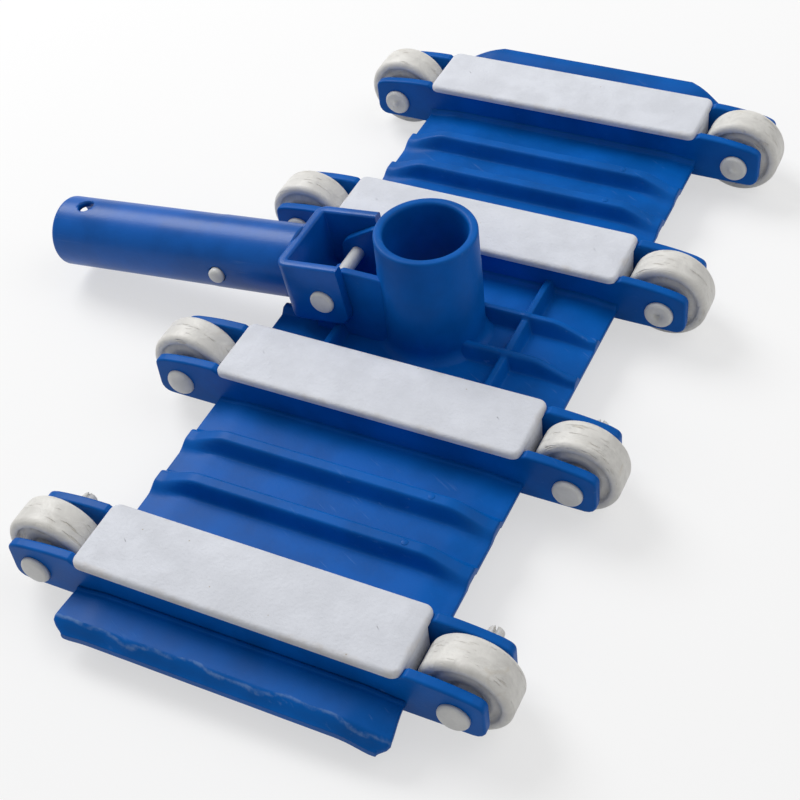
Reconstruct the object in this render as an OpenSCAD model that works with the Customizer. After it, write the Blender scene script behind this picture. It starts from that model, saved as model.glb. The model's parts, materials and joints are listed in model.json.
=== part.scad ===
// Flexible pool vacuum head with eight wheels, a hose connector and a pivoting pole handle.
// Millimetres. X runs across the head with the handle towards -X, Y runs along it, Z is up.
// The origin is on the floor under the wheels, below the axis of the hose connector.

/* [Cross bars] */
// Distance between neighbouring cross bars
bar_pitch = 94; // [88:1:104]
// Length of a cross bar between its two forks
bar_len = 120; // [114:1:130]
// Overall width of a cross bar and its forks
bar_w = 26; // [25:0.5:30]
// Thickness of the bar walls and fork ears
bar_wall = 4; // [3:0.25:4.5]
// Height of the bar underside above the floor
bar_low = 8; // [6.5:0.5:9]
// Height of the bar walls' top edge above the floor
bar_top = 26; // [25:0.5:29]
// Reach of a fork ear beyond the end of its bar
ear_len = 26.5; // [25:0.5:32]
// Height of an ear's top edge next to the bar
ear_top_in = 27.5; // [26:0.5:30]
// Height of an ear's top edge at its tip
ear_top_out = 24.5; // [23:0.5:26]

/* [Flexible sheet] */
// Height of the sheet's upper face above the floor
sheet_top = 15; // [14.5:0.25:16.5]
// Thickness of the sheet
sheet_t = 2.4; // [1.8:0.1:3]
// Height of a cross rib above the sheet
rib_h = 6.25; // [5:0.25:6.5]
// Height of a cross rib above the sheet at its ends
rib_end_h = 2.75; // [1:0.25:4]
// Width of an outer panel rib's crest
rib_crest_w = 4.5; // [3:0.25:6]
// Width of an outer panel rib at its foot
rib_foot_w = 8.5; // [8:0.25:11]
// Distance between the two cross ribs of a panel
rib_spacing = 21; // [19:0.5:24]
// Distance of each pair of cross ribs from the middle of its panel, towards +Y
rib_shift = 1.5; // [0:0.25:2]
// Length of the slope at each end of a cross rib
rib_slope = 16; // [10:0.5:20]
// Crest width of the ribs round the connector
web_crest_w = 2.5; // [2:0.25:4]
// Foot width of the ribs round the connector
web_foot_w = 6; // [5:0.25:7]
// Distance of the lengthwise ribs from the connector axis
long_rib_x = 32.5; // [29:0.5:34]
// Height of the lengthwise ribs above the sheet
long_rib_h = 5; // [3:0.25:5.25]
// Width of the slit where two sections flex
flex_gap = 0.6; // [0.5:0.1:1]

/* [End lips] */
// Reach of the near lip out from its bar wall
near_lip_len = 16; // [12:0.5:22]
// Drop of the near lip's turned-down edge
near_lip_drop = 5.5; // [3:0.5:6]
// Reach of the far lip out from its bar wall
far_lip_len = 20.5; // [14:0.5:26]
// Rise of the far lip at its outer edge
far_lip_rise = 5; // [0:0.5:6]
// Length along the bar of the corner cut of the far lip
far_lip_cut = 15; // [6:0.5:20]

/* [Weights] */
// Overhang of a weight cover past the bar walls
cover_overhang = 1; // [0.5:0.25:2]
// Thickness of a weight cover's top above the bar walls
cover_top = 2.6; // [2.5:0.1:4]
// Wall thickness of a weight cover
cover_wall = 2; // [1.5:0.1:2.5]
// Distance between the two screw posts of a cover
post_spacing = 60; // [40:1:80]

/* [Wheels] */
// Wheel diameter
wheel_d = 32; // [30:0.5:34]
// Wheel width
wheel_w = 13.5; // [12:0.5:14.5]
// Diameter of an axle pin
axle_d = 6; // [5:0.1:7]
// Diameter of an axle pin's head
axle_head_d = 11; // [9:0.5:12]
// Thickness of an axle pin's head
axle_head_t = 2; // [1.5:0.1:3]
// Reach of an axle pin's snap tip beyond the far ear
axle_tip = 7.5; // [5:0.5:9]

/* [Hose connector] */
// Outer diameter of the hose connector
hose_od = 38; // [36:0.5:38.5]
// Wall thickness of the hose connector
hose_wall = 3.5; // [3:0.1:4.5]
// Height of the connector's rim above the floor
hose_top = 62; // [56:0.5:75]

/* [Handle] */
// Outer diameter of the handle tube, which fits inside the pole
tube_od = 28.2; // [26:0.1:28.4]
// Wall thickness of the handle tube
tube_wall = 2.6; // [2:0.1:3]
// Length of the handle tube beyond the yoke
tube_len = 113; // [90:1:140]
// Overall width of the yoke
yoke_w = 37.2; // [36:0.2:40]
// Thickness of the yoke's side walls
yoke_wall = 4; // [3:0.1:4.5]
// Distance from the pivot to the back of the yoke
yoke_back = 17; // [16.5:0.25:19]
// Distance from the pivot to the open ends of the yoke's side walls
yoke_front = 9.2; // [7.5:0.1:9.6]
// Height of the yoke above the pivot
yoke_up = 15.2; // [14:0.1:15.5]
// Distance of the pivot from the connector axis
pivot_x = 36; // [35.5:0.5:40]
// Height of the pivot above the floor
pivot_z = 33; // [32:0.25:35]
// Diameter of the pivot pin
pivot_d = 5.4; // [4.5:0.1:6.5]
// Diameter of the pivot pin's head
pivot_head_d = 9.6; // [8.5:0.1:11]
// Thickness of the pivot pin's head
pivot_head_t = 1.6; // [1:0.1:3]
// Thickness of the lugs that carry the pivot
lug_t = 3.2; // [2.4:0.1:4]
// Angle of the resting handle below level, in degrees
droop = 7.2; // [5:0.1:8]

/* [Pole lock] */
// Distance of the lock buttons from the back of the yoke
button_reach = 32.4; // [28:0.1:40]
// Diameter of a lock button
button_d = 6.4; // [5:0.1:7]
// Height of a lock button above the tube
button_proud = 2.6; // [1.5:0.1:3]
// Distance of the lock hole from the tube's free end
lock_hole_inset = 12.5; // [8:0.5:20]
// Diameter of the lock hole
lock_hole_d = 7; // [5:0.1:8]

/* [Hidden] */
$fn = 64;

// Clearances
run_fit = 0.05;   // radial, a pin turning in its hole
seat_gap = 0.3;   // between parts that move past each other or sit loosely
weld = 1;         // how far joined shapes run into each other
over = 1;         // how far a cut runs past the surface it opens

// Colours
blue = [0.02, 0.33, 0.64];
white = [0.87, 0.88, 0.91];
cream = [0.90, 0.89, 0.86];
steel = [0.70, 0.71, 0.73];
iron = [0.35, 0.35, 0.36];

// Cross bars and forks
bar_half = bar_len / 2;
wall_out = bar_w / 2;
wall_in = wall_out - bar_wall;
wheel_r = wheel_d / 2;
wheel_gap = 0.5;
axle_x = bar_half + wheel_gap + wheel_r;
axle_z = wheel_r;
ear_end = bar_half + ear_len;
ear_round = 4;
ear_steps = 8;

// Sheet and ribs
sheet_low = sheet_top - sheet_t;
flex_y = bar_pitch;
panel_rib_y = flex_y - rib_spacing / 2;
near_rib_y = -flex_y - rib_spacing / 2 + rib_shift;
far_rib_y = flex_y + rib_spacing / 2 + rib_shift;
rib_crest_x = bar_half - rib_slope;
rib_skin = 1.6;

// Weight covers
cover_half_w = wall_out + cover_overhang;
cover_half_l = bar_half - 0.6;
cover_in_w = wall_in - seat_gap;
cover_z = bar_top + cover_top;
cover_corner = 4;
cover_edge = 2.2;
post_r = 3.6;
screw_r = 1.15;
screw_head_r = 3;
screw_head_h = 1.8;
screw_len = 8.5;
ballast_gap = 0.2;

// Hose connector
hose_r = hose_od / 2;
hose_bore_r = hose_r - hose_wall;
cuff_stop = 0.2;

// Handle and pivot
tube_r = tube_od / 2;
tube_bore_r = tube_r - tube_wall;
tube_rise = yoke_up + 0.4 - tube_r;
tube_floor = 1.6;
pole_stop = 0.15;
stop_past = 5;
back_wall = 3.6;
back_in = yoke_back - back_wall;
yoke_half = yoke_w / 2;
yoke_in = yoke_half - yoke_wall;
lug_out = yoke_in - seat_gap;
lug_in = lug_out - lug_t;
lug_r = pivot_d / 2 + 4.3;
lug_top = pivot_z + back_in - 0.6;
pivot_tip = 5;
swing_top = 97;
yoke_corner = 5;

// Depth of the yoke below the pivot that lets its back wall rest on the sloping rib ends
rib_grade = (rib_h - rib_end_h) / rib_slope;
rest_drop = pivot_z - back_in * sin(droop) - sheet_top - rib_end_h - seat_gap;
rest_rib = rib_grade * (bar_half - pivot_x - back_in * cos(droop));
yoke_down = (rest_drop - rest_rib) / (cos(droop) + rib_grade * sin(droop));

// Pole lock clip
clip_t = 1.2;
clip_h = 8;
bow_r = 4.2;
bow_x = -(yoke_back + tube_floor + seat_gap + bow_r);
button_x = -(yoke_back + button_reach);
button_r = button_d / 2;
button_hole_r = button_r + 0.4;
arm_root_y = bow_r - clip_t / 2;
arm_tip_y = tube_bore_r - 1.9;
arm_run = bow_x - button_x;
arm_angle = atan((arm_tip_y - arm_root_y) / arm_run);

// Place of bar number i, counted from the near end
function bar_y(i) = (i - 2.5) * bar_pitch;

// Points of a quarter circle with centre c and radius r, from angle a to angle b
function arc(c, r, a, b, n = 6) =
    [for (k = [0:n]) c + r * [cos(a + (b - a) * k / n), sin(a + (b - a) * k / n)]];

// Extrudes a YZ outline along X between two planes
module along_x(x0, x1) {
    translate([x0, 0, 0])
        rotate([90, 0, 90])
            linear_extrude(x1 - x0) children();
}

// Extrudes an XZ outline along Y between two planes
module along_y(y0, y1) {
    translate([0, y1, 0])
        rotate([90, 0, 0])
            linear_extrude(y1 - y0) children();
}

// Cylinder along Y between two planes
module rod_y(r, y0, y1, x = 0, z = 0) {
    translate([x, y0, z])
        rotate([-90, 0, 0])
            cylinder(r = r, h = y1 - y0);
}

// Flat stretch of the flexible sheet
module sheet(y0, y1) {
    translate([-bar_half, y0, sheet_low])
        cube([bar_len, y1 - y0, sheet_t]);
}

// Section of a rib of height h above the sheet, centred on 0; inset shrinks it to its hollow
module rib_section(h, crest_w, foot_w, inset = 0) {
    polygon([
        [-foot_w / 2 + inset, sheet_low], [-foot_w / 2 + inset, sheet_top - inset],
        [-crest_w / 2 + inset / 2, sheet_top + h - inset],
        [crest_w / 2 - inset / 2, sheet_top + h - inset],
        [foot_w / 2 - inset, sheet_top - inset], [foot_w / 2 - inset, sheet_low]
    ]);
}

// Rib across the head whose crest slopes down to both edges
module cross_rib(y, crest_w, foot_w, inset = 0) {
    edge_x = bar_half - inset;
    intersection() {
        along_x(-edge_x, edge_x)
            translate([y, 0]) rib_section(rib_h, crest_w, foot_w, inset);
        along_y(y - foot_w, y + foot_w)
            polygon([
                [-edge_x, sheet_low], [-edge_x, sheet_top + rib_end_h - inset],
                [-rib_crest_x, sheet_top + rib_h - inset], [rib_crest_x, sheet_top + rib_h - inset],
                [edge_x, sheet_top + rib_end_h - inset], [edge_x, sheet_low]
            ]);
    }
}

// Rib along the head between the two middle bars
module long_rib(x) {
    along_y(-bar_pitch / 2 + wall_in, bar_pitch / 2 - wall_in)
        translate([x, 0]) rib_section(long_rib_h, web_crest_w, web_foot_w);
}

// Outline of a fork ear and the bar wall behind it
module ear_outline() {
    drop = ear_top_in - ear_top_out;
    top = [for (k = [0:ear_steps])
        [bar_half + 1 + (ear_len - 1) * k / ear_steps, ear_top_in - drop * pow(k / ear_steps, 2)]];
    polygon(concat(
        [[0, bar_low], [0, bar_top], [bar_half - 1, bar_top]],
        top,
        arc([ear_end - ear_round, bar_low + ear_round], ear_round, 0, -90)
    ));
}

// The two walls of a cross bar, with a fork at each end
module bar_walls(i) {
    for (side = [-1, 1], end = [0, 1])
        translate([0, bar_y(i), 0])
            mirror([end, 0, 0])
                along_y(side > 0 ? wall_in : -wall_out, side > 0 ? wall_out : -wall_in)
                    ear_outline();
}

// Holes of a cross bar: two axle holes through the forks and two screw holes in the floor
module bar_holes(i) {
    for (end = [-1, 1]) {
        rod_y(axle_d / 2 + run_fit, bar_y(i) - wall_out - over, bar_y(i) + wall_out + over,
            end * axle_x, axle_z);
        translate([end * post_spacing / 2, bar_y(i), sheet_low - over])
            cylinder(r = screw_r + 0.35, h = sheet_t + 2 * over);
    }
}

module body_near() {
    lip_root = bar_y(1) - wall_out;
    lip_bend = lip_root - near_lip_len + 3.5;
    color(blue)
    difference() {
        union() {
            sheet(bar_y(1) - wall_out, -flex_y - flex_gap / 2);
            bar_walls(1);
            cross_rib(near_rib_y, rib_crest_w, rib_foot_w);
            intersection() {
                along_x(-bar_half, bar_half)
                    polygon([
                        [lip_root + weld, sheet_low + 1], [lip_root + weld, sheet_top + 1],
                        [lip_root - 5, sheet_top + 0.8], [lip_bend, sheet_top - 1],
                        [lip_root - near_lip_len, sheet_top + 0.6 - near_lip_drop],
                        [lip_root - near_lip_len + 1.6, sheet_top - 0.4 - near_lip_drop],
                        [lip_bend + 1, sheet_low - 0.8], [lip_root - 5, sheet_low + 1]
                    ]);
                linear_extrude(bar_top)
                    polygon([
                        [-bar_half, lip_root + 2 * weld], [-bar_half, lip_bend],
                        [-bar_half + 3.5, lip_root - near_lip_len - over],
                        [bar_half - 3.5, lip_root - near_lip_len - over],
                        [bar_half, lip_bend], [bar_half, lip_root + 2 * weld]
                    ]);
            }
        }
        cross_rib(near_rib_y, rib_crest_w, rib_foot_w, rib_skin);
        bar_holes(1);
    }
}

module body_far() {
    lip_root = bar_y(4) + wall_out;
    lip_cut_y = lip_root + far_lip_len * 0.6;
    color(blue)
    difference() {
        union() {
            sheet(flex_y + flex_gap / 2, bar_y(4) + wall_out);
            bar_walls(4);
            cross_rib(far_rib_y, rib_crest_w, rib_foot_w);
            intersection() {
                along_x(-bar_half, bar_half)
                    polygon([
                        [lip_root - weld, sheet_low + 1], [lip_root - weld, sheet_top + 1],
                        [lip_root + 4, sheet_top + 1.2],
                        [lip_root + far_lip_len, sheet_top + 1 + far_lip_rise],
                        [lip_root + far_lip_len + 0.3, sheet_low + 1 + far_lip_rise],
                        [lip_root + 4, sheet_low + 1]
                    ]);
                linear_extrude(bar_top)
                    polygon([
                        [-bar_half, lip_root - 2 * weld], [-bar_half, lip_cut_y],
                        [-bar_half + far_lip_cut, lip_root + far_lip_len],
                        [bar_half - far_lip_cut, lip_root + far_lip_len],
                        [bar_half, lip_cut_y], [bar_half, lip_root - 2 * weld]
                    ]);
            }
        }
        cross_rib(far_rib_y, rib_crest_w, rib_foot_w, rib_skin);
        bar_holes(4);
    }
}

// One of the two lugs that carry the handle's pivot pin
module pivot_lug(y0, y1) {
    along_y(y0, y1)
        polygon([
            [-pivot_x - lug_r, sheet_top - weld], [-pivot_x - lug_r, pivot_z],
            [-pivot_x - lug_r / 2, pivot_z + lug_r * sin(60)], [-pivot_x + 7, lug_top],
            [-hose_bore_r / 2, lug_top], [-hose_bore_r / 2, sheet_top - weld]
        ]);
    rod_y(lug_r, y0, y1, -pivot_x, pivot_z);
}

module body_center() {
    color(blue)
    difference() {
        union() {
            sheet(-flex_y + flex_gap / 2, flex_y - flex_gap / 2);
            for (i = [2, 3]) bar_walls(i);
            for (s = [-1, 1]) {
                cross_rib(s * panel_rib_y + rib_shift, rib_crest_w, rib_foot_w);
                cross_rib(s * rib_spacing / 2 + rib_shift, web_crest_w, web_foot_w);
                long_rib(s * long_rib_x);
            }
            translate([0, 0, sheet_low])
                cylinder(r = hose_r, h = hose_top - sheet_low);
            translate([0, 0, sheet_low])
                cylinder(r = hose_r + cuff_stop, h = lug_top + cuff_stop - sheet_low);
            pivot_lug(-lug_out, -lug_in);
            pivot_lug(lug_in, lug_out);
        }
        for (s = [-1, 1])
            cross_rib(s * panel_rib_y + rib_shift, rib_crest_w, rib_foot_w, rib_skin);
        translate([0, 0, sheet_low - over])
            cylinder(r = hose_bore_r, h = hose_top - sheet_low + 2 * over);
        rod_y(pivot_d / 2 + run_fit, -lug_out - over, lug_out + over, -pivot_x, pivot_z);
        for (i = [2, 3]) bar_holes(i);
    }
}

// Rounded slab that forms the visible top of a weight cover
module cover_slab() {
    hull() {
        for (sx = [-1, 1], sy = [-1, 1])
            translate([sx * (cover_half_l - cover_corner), sy * (cover_half_w - cover_corner), 0]) {
                translate([0, 0, bar_top])
                    cylinder(r = cover_corner, h = 0.4, $fn = 32);
                translate([0, 0, bar_top])
                    cylinder(r = cover_corner - cover_edge, h = cover_top, $fn = 32);
                translate([0, 0, bar_top])
                    cylinder(r = cover_corner - cover_edge * 0.3, h = cover_top * 0.7, $fn = 32);
            }
    }
}

module weight_cover(i) {
    cavity_l = cover_half_l - cover_wall;
    cavity_w = cover_in_w - cover_wall;
    floor_z = sheet_top + ballast_gap;
    color(white)
    translate([0, bar_y(i), 0])
        difference() {
            union() {
                cover_slab();
                difference() {
                    translate([-cover_half_l, -cover_in_w, floor_z])
                        cube([2 * cover_half_l, 2 * cover_in_w, bar_top + 0.3 - floor_z]);
                    translate([-cavity_l, -cavity_w, floor_z - over])
                        cube([2 * cavity_l, 2 * cavity_w, bar_top - floor_z + over]);
                }
                for (s = [-1, 1])
                    translate([s * post_spacing / 2, 0, floor_z])
                        cylinder(r = post_r, h = bar_top + 0.3 - floor_z);
            }
            for (s = [-1, 1])
                translate([s * post_spacing / 2, 0, floor_z - over])
                    cylinder(r = screw_r + run_fit, h = screw_len + over);
        }
}

module ballast(i) {
    half_l = cover_half_l - cover_wall - seat_gap;
    half_w = cover_in_w - cover_wall - seat_gap;
    low = sheet_top + ballast_gap;
    color(iron)
    translate([0, bar_y(i), 0])
        difference() {
            translate([-half_l, -half_w, low])
                cube([2 * half_l, 2 * half_w, bar_top - seat_gap - low]);
            for (s = [-1, 1])
                translate([s * post_spacing / 2, 0, low - over])
                    cylinder(r = post_r + seat_gap, h = bar_top - low + 2 * over);
        }
}

module cover_screws(i) {
    color(steel)
    for (s = [-1, 1])
        translate([s * post_spacing / 2, bar_y(i), 0]) {
            translate([0, 0, sheet_low - screw_head_h])
                cylinder(r = screw_head_r, h = screw_head_h);
            translate([0, 0, sheet_low - weld])
                cylinder(r = screw_r, h = sheet_t + screw_len - 0.5 + weld);
        }
}

// Half section of a wheel, as radius and distance from its middle
module wheel_outline() {
    half = wheel_w / 2;
    edge = 2.4;
    groove_out = wheel_r * 0.80;
    groove_in = wheel_r * 0.62;
    hub = wheel_r * 0.40;
    bore = axle_d / 2 + run_fit;
    right = concat(
        arc([wheel_r - edge, half - edge], edge, 0, 90),
        [
            [groove_out, half], [groove_out - 0.6, half - 2], [groove_in + 0.6, half - 2],
            [groove_in, half - 0.5], [hub + 0.8, half - 0.5], [hub, half - 2.2],
            [bore + 1.6, half - 2.2], [bore + 1.6, half - 0.6], [bore, half - 0.6]
        ]);
    left = [for (k = [len(right) - 1:-1:0]) [right[k][0], -right[k][1]]];
    polygon(concat(right, left));
}

module wheel(i, end) {
    color(cream)
    translate([end * axle_x, bar_y(i), axle_z])
        rotate([-90, 0, 0])
            rotate_extrude() wheel_outline();
}

// Headed plastic pin along Y whose split tip snaps behind the face at back_y
module snap_pin(d, head_d, head_t, front_y, back_y, tip) {
    barb = d / 2 + 0.5;
    slit = d / 5;
    difference() {
        union() {
            rod_y(head_d / 2, front_y - head_t, front_y);
            rod_y(d / 2, front_y - head_t / 2, back_y + tip);
            translate([0, back_y + seat_gap, 0])
                rotate([-90, 0, 0])
                    cylinder(r1 = barb, r2 = d / 2 - 0.3, h = tip - seat_gap);
        }
        translate([-slit / 2, back_y + seat_gap + 1, -barb - over])
            cube([slit, tip + over, 2 * (barb + over)]);
    }
}

module axle(i, end) {
    color(white)
    translate([end * axle_x, bar_y(i), axle_z])
        snap_pin(axle_d, axle_head_d, axle_head_t, -wall_out - run_fit, wall_out, axle_tip);
}

// Outline of a yoke side wall round the pivot
module yoke_outline() {
    polygon(concat(
        [[-yoke_back, -yoke_down], [-yoke_back, yoke_up], [yoke_front, yoke_up]],
        arc([yoke_front - yoke_corner, -yoke_down + yoke_corner], yoke_corner, 0, -90)
    ));
}

// Moves shapes drawn round the pivot, with the tube along -X, to the resting handle
module at_handle() {
    translate([-pivot_x, 0, pivot_z])
        rotate([0, -droop, 0]) children();
}

module handle() {
    color(blue)
    at_handle()
        difference() {
            union() {
                along_y(-yoke_half, -yoke_in) yoke_outline();
                along_y(yoke_in, yoke_half) yoke_outline();
                translate([-yoke_back, -yoke_half, -yoke_down])
                    cube([back_wall, yoke_w, yoke_up + yoke_down]);
                translate([-yoke_back - tube_len, 0, tube_rise])
                    rotate([0, 90, 0])
                        cylinder(r = tube_r, h = tube_len + back_wall / 2);
                translate([button_x - stop_past, 0, tube_rise])
                    rotate([0, 90, 0])
                        cylinder(r = tube_r + pole_stop, h = button_reach + stop_past);
            }
            translate([-yoke_back - tube_len - over, 0, tube_rise])
                rotate([0, 90, 0])
                    cylinder(r = tube_bore_r, h = tube_len - tube_floor + over);
            rod_y(pivot_d / 2 + run_fit, -yoke_half - over, yoke_half + over);
            rod_y(button_hole_r, -tube_r - over, tube_r + over, button_x, tube_rise);
            translate([-yoke_back - tube_len + lock_hole_inset, 0, tube_rise])
                cylinder(d = lock_hole_d, h = tube_r + over);
        }
}

module pivot_pin() {
    color(white)
    translate([-pivot_x, 0, pivot_z])
        snap_pin(pivot_d, pivot_head_d, pivot_head_t, -yoke_half - run_fit, yoke_half, pivot_tip);
}

// Bend of the spring clip, resting against the closed end of the tube
module clip_bow() {
    color(steel)
    at_handle()
        translate([bow_x, 0, tube_rise])
            intersection() {
                difference() {
                    cylinder(r = bow_r, h = clip_h, center = true);
                    cylinder(r = bow_r - clip_t, h = clip_h + over, center = true);
                }
                translate([0, -bow_r - over, -clip_h])
                    cube([bow_r + over, 2 * (bow_r + over), 2 * clip_h]);
            }
}

// Spring arm of the clip on one side, with its root at the bow
module clip_arm(side) {
    color(steel)
    at_handle()
        translate([bow_x - seat_gap, side * arm_root_y, tube_rise])
            rotate([0, 0, -side * arm_angle])
                translate([-arm_run / cos(arm_angle) - button_r, -clip_t / 2, -clip_h / 2])
                    cube([arm_run / cos(arm_angle) + button_r, clip_t, clip_h]);
}

// Domed lock button at the end of a spring arm
module clip_button(side) {
    seat_y = arm_tip_y + clip_t;
    tip_y = tube_r + button_proud;
    dome = 1.6;
    dome_r = (button_r * button_r + dome * dome) / (2 * dome);
    color(white)
    at_handle()
        translate([button_x, 0, tube_rise])
            mirror([0, side > 0 ? 0 : 1, 0])
                rotate([-90, 0, 0])
                    intersection() {
                        translate([0, 0, seat_y])
                            cylinder(r = button_r, h = tip_y - seat_y);
                        translate([0, 0, tip_y - dome_r])
                            sphere(r = dome_r);
                    }
}

body_near();
body_center();
body_far();
weight_cover(1);  // weight_cover_1
weight_cover(2);  // weight_cover_2
weight_cover(3);  // weight_cover_3
weight_cover(4);  // weight_cover_4
ballast(1);  // ballast_1
ballast(2);  // ballast_2
ballast(3);  // ballast_3
ballast(4);  // ballast_4
cover_screws(1);  // cover_screws_1
cover_screws(2);  // cover_screws_2
cover_screws(3);  // cover_screws_3
cover_screws(4);  // cover_screws_4
wheel(1, -1);  // wheel_1_left
wheel(1, 1);  // wheel_1_right
wheel(2, -1);  // wheel_2_left
wheel(2, 1);  // wheel_2_right
wheel(3, -1);  // wheel_3_left
wheel(3, 1);  // wheel_3_right
wheel(4, -1);  // wheel_4_left
wheel(4, 1);  // wheel_4_right
axle(1, -1);  // axle_1_left
axle(1, 1);  // axle_1_right
axle(2, -1);  // axle_2_left
axle(2, 1);  // axle_2_right
axle(3, -1);  // axle_3_left
axle(3, 1);  // axle_3_right
axle(4, -1);  // axle_4_left
axle(4, 1);  // axle_4_right
handle();
pivot_pin();
clip_bow();
clip_arm(-1);  // clip_arm_near
clip_arm(1);  // clip_arm_far
clip_button(-1);  // clip_button_near
clip_button(1);  // clip_button_far
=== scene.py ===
import json
import math

import bpy
import numpy as np
from bpy.props import FloatProperty, FloatVectorProperty, PointerProperty
from mathutils import Matrix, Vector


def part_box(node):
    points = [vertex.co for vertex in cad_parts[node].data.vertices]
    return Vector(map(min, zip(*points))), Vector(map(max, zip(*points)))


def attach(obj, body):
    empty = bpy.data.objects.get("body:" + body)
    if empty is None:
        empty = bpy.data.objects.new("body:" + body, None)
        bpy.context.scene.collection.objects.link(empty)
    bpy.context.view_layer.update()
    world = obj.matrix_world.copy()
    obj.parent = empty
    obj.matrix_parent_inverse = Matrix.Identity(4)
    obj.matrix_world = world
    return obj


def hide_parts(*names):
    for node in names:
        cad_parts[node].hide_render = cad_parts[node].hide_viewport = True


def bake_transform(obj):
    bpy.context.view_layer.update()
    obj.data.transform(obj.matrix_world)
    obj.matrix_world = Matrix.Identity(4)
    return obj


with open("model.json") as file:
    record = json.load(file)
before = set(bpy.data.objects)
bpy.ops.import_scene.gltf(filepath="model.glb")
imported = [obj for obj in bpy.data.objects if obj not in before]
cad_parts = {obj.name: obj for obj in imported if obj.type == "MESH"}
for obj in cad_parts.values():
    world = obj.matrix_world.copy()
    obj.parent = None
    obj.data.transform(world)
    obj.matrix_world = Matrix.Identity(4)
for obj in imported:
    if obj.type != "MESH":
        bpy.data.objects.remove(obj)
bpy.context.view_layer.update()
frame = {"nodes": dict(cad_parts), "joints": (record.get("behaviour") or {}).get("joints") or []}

bl_info = {
    "name": "Flexible pool vacuum head",
    "version": (1, 0, 0),
    "blender": (4, 5, 0),
    "location": "3D View > Sidebar > Vacuum Head",
    "description": "Dresses the eight-wheeled vacuum head: flexible body, weights, wheels and handle",
    "category": "Object",
}

MM = 0.001
BAR_HALF_LENGTH = 60.0   # from the middle of a cross bar to its forks
BAR_HALF_WIDTH = 13.0    # from the middle of a cross bar to its walls' outer faces
CONNECTOR_TOP = 62.0     # height of the hose connector's rim
RUN_FIT = 0.05           # radial and end gap of a pin in its hole
AXIS = 0.02              # radius at which a turned profile is closed by a small cap
TUBE_AXIS = 1.5          # height of the tube's axis above the pivot, in the handle's own frame
BUTTON_PLACE = -49.4     # place of the lock buttons along the tube, from the pivot
BARS = [float(np.mean([c[1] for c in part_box(f"weight_cover_{i}")])) / MM for i in range(1, 5)]
PIVOT = next(j for j in frame["joints"] if j["name"] == "handle_pivot")


def millimetres(node):
    """Lowest and highest corner of a CAD node, in millimetres."""
    low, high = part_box(node)
    return np.array(low) / MM, np.array(high) / MM


# ---------------------------------------------------------------- sizes and colours


def length(name, description, default):
    """A size the user can change, in metres."""
    return FloatProperty(
        name=name, description=description, default=default, unit="LENGTH", subtype="DISTANCE")


def colour(name, description, red, green, blue):
    """A colour written as it appears on screen, from 0 to 255, and kept as linear light."""
    shown = np.array([red, green, blue]) / 255
    linear = np.where(shown <= 0.04045, shown / 12.92, ((shown + 0.055) / 1.055) ** 2.4)
    return FloatVectorProperty(
        name=name, description=description, default=tuple(linear), subtype="COLOR", size=3, min=0, max=1)


class BodySizes(bpy.types.PropertyGroup):
    """Sizes of the flexible body, its bars and the hose connector"""
    half_width: length("Half width", "Distance from the middle of the sheet to its edges", 0.0602)
    sheet_top: length("Sheet height", "Height of the sheet's upper face above the floor", 0.015)
    sheet_thickness: length("Sheet thickness", "Thickness of the flexible sheet", 0.0024)
    edge_droop: length("Edge droop", "How far the sheet sags at its edges", 0.0014)
    rib_height: length("Rib height", "Height of a cross rib above the sheet", 0.00625)
    rib_end: length("Rib end height", "Height of a cross rib at the edge of the sheet", 0.0018)
    rib_slope: length("Rib slope", "Length of the slope at each end of a cross rib", 0.016)
    rib_crest: length("Rib crest", "Width of the crest of an outer panel's rib", 0.0043)
    rib_foot: length("Rib foot", "Width of an outer panel's rib at its foot", 0.0088)
    rib_spacing: length("Rib spacing", "Distance between the two ribs of a panel", 0.021)
    rib_shift: length("Rib shift", "Distance of each pair of ribs from the middle of its panel", 0.0015)
    web_crest: length("Web crest", "Crest width of the ribs round the connector", 0.0025)
    web_foot: length("Web foot", "Foot width of the ribs round the connector", 0.006)
    web_height: length("Web height", "Height of the lengthwise ribs above the sheet", 0.005)
    web_place: length("Web place", "Distance of the lengthwise ribs from the connector's axis", 0.0325)
    bar_wall: length("Bar wall", "Thickness of the bar walls and fork ears", 0.004)
    bar_low: length("Bar underside", "Height of the bars' underside above the floor", 0.008)
    bar_top: length("Bar top", "Height of the bar walls' top edge above the floor", 0.026)
    ear_reach: length("Ear reach", "Reach of a fork ear beyond the end of its bar", 0.0265)
    ear_inner: length("Ear height", "Height of an ear's top edge next to the bar", 0.0275)
    ear_outer: length("Ear tip height", "Height of an ear's top edge at its tip", 0.0245)
    connector_radius: length("Connector radius", "Outer radius of the hose connector", 0.019)
    connector_bore: length("Connector bore", "Inner radius of the hose connector", 0.0155)
    connector_flare: length("Connector flare", "Radius of the hollow at the connector's foot", 0.0045)


class PartSizes(bpy.types.PropertyGroup):
    """Sizes of the weights, wheels, pins and handle"""
    cover_edge: length("Cover edge", "Radius of the rounded top edge of a weight cover", 0.0017)
    cover_corner: length("Cover corner", "Radius of a weight cover's corners", 0.0034)
    cover_crown: length("Cover crown", "Rise of a weight cover's top towards its middle", 0.0003)
    wheel_edge: length("Wheel edge", "Radius of a wheel's tread edges", 0.0024)
    head_radius: length("Pin head radius", "Radius of an axle pin's head", 0.0055)
    pin_radius: length("Pin radius", "Radius of an axle pin", 0.003)
    tube_radius: length("Tube radius", "Outer radius of the handle tube", 0.0141)
    tube_bore: length("Tube bore", "Inner radius of the handle tube", 0.0115)
    tube_length: length("Tube length", "Length of the handle tube beyond the yoke", 0.113)
    yoke_half: length("Yoke half width", "Half of the yoke's overall width", 0.0186)
    yoke_wall: length("Yoke wall", "Thickness of the yoke's side walls", 0.004)
    button_radius: length("Button radius", "Radius of a lock button", 0.0032)


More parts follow.
